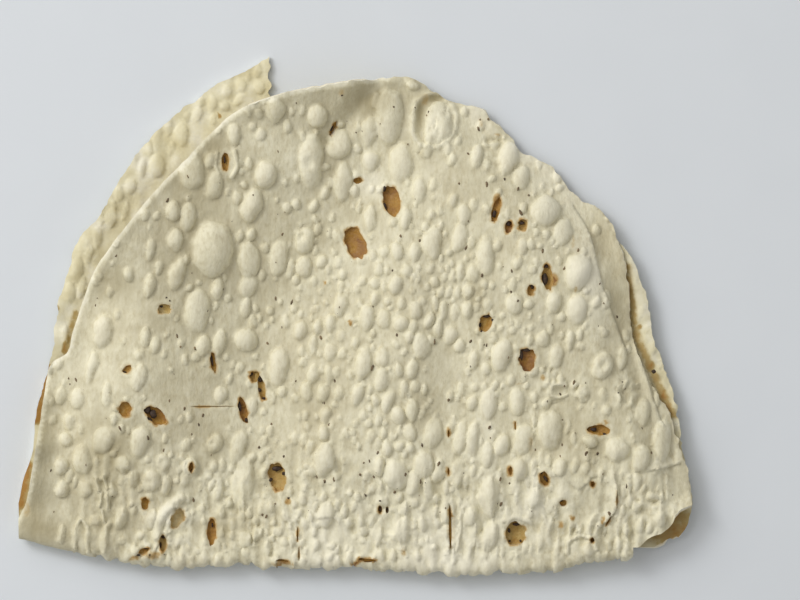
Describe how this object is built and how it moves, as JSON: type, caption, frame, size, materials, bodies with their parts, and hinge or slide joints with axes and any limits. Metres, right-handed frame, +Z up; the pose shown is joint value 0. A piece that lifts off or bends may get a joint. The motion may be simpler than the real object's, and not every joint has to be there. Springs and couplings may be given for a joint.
{
  "type": "roasted papadum",
  "caption": "Thin crisp roasted flatbread disc folded in half, with blisters, burst openings and torn edges.",
  "frame": {"origin": "middle of the folded sheet's box, on the surface that the lower leaf rests on", "axes": "+X along the fold, +Y from the fold towards the open edge, +Z up through both leaves"},
  "size_m": [0.1906, 0.1462, 0.0144],
  "materials": {
    "papadum": "dry roasted dough, matte"
  },
  "bodies": {
    "root": {"papadum": "papadum"}
  },
  "joints": []
}
